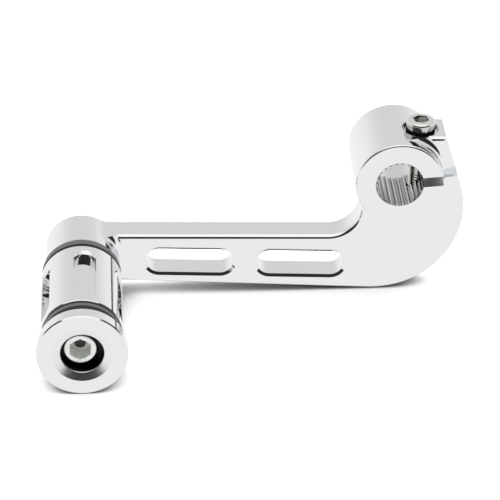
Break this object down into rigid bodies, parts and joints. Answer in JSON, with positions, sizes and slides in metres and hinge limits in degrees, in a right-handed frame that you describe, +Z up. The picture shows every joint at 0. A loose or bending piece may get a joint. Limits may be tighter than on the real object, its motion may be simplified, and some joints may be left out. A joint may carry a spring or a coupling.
{
  "type": "motorcycle gear shift lever",
  "caption": "Chromed motorcycle gear shift lever: slotted arm curving up to a split, splined clamp hub with a bolt, and a bolted toe peg with a pocketed sleeve and rubber rings.",
  "frame": {"origin": "centre of the part's box, on the surface that the end cap's rim and the curve under the hub rest on", "axes": "+X along the arm from the toe peg to the clamp hub, +Y along the hub's bore from the peg's end cap towards the gearbox, +Z up"},
  "size_m": [0.146, 0.0846, 0.0624],
  "materials": {
    "lever_chrome": "polished chrome plating",
    "cap_chrome": "polished chrome plating",
    "sleeve_chrome": "polished chrome plating",
    "clamp_bolt_steel": "stainless, lightly turned",
    "peg_bolt_zinc": "bright zinc plating",
    "ring_rubber": "moulded, slightly glossy"
  },
  "bodies": {
    "root": {"shift_lever": "lever_chrome", "clamp_bolt": "clamp_bolt_steel", "end_cap": "cap_chrome", "front_ring": "ring_rubber", "peg_bolt": "peg_bolt_zinc", "peg_sleeve": "sleeve_chrome", "rear_ring": "ring_rubber"}
  },
  "joints": []
}
